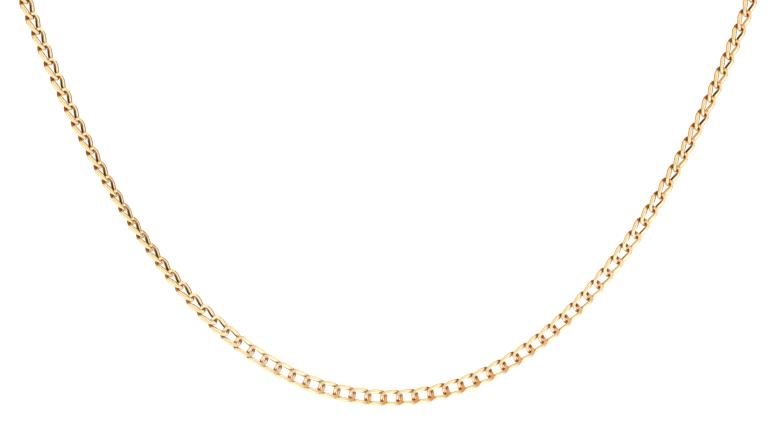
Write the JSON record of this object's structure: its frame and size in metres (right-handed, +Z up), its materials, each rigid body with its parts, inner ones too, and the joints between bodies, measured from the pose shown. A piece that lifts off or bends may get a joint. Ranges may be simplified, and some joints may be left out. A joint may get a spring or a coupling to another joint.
{
  "type": "curb chain necklace",
  "caption": "Open curb chain necklace in polished gold, a closed loop of flat-cut links with end rings and a plain round clasp, kept in the form it hangs in.",
  "frame": {"origin": "middle of the nape stretch, where the necklace sits on the back of the neck", "axes": "+Z up, +X to the right as seen from the front, -Y towards the viewer of the hanging front"},
  "size_m": [0.1421, 0.0691, 0.1136],
  "materials": {
    "cut_gold": "polished gold with flat bright-cut faces",
    "round_gold": "polished round gold wire"
  },
  "bodies": {
    "root": {"chain_left": "cut_gold", "chain_right": "cut_gold", "end_ring_left": "round_gold", "end_ring_right": "round_gold", "clasp": "round_gold"}
  },
  "joints": []
}
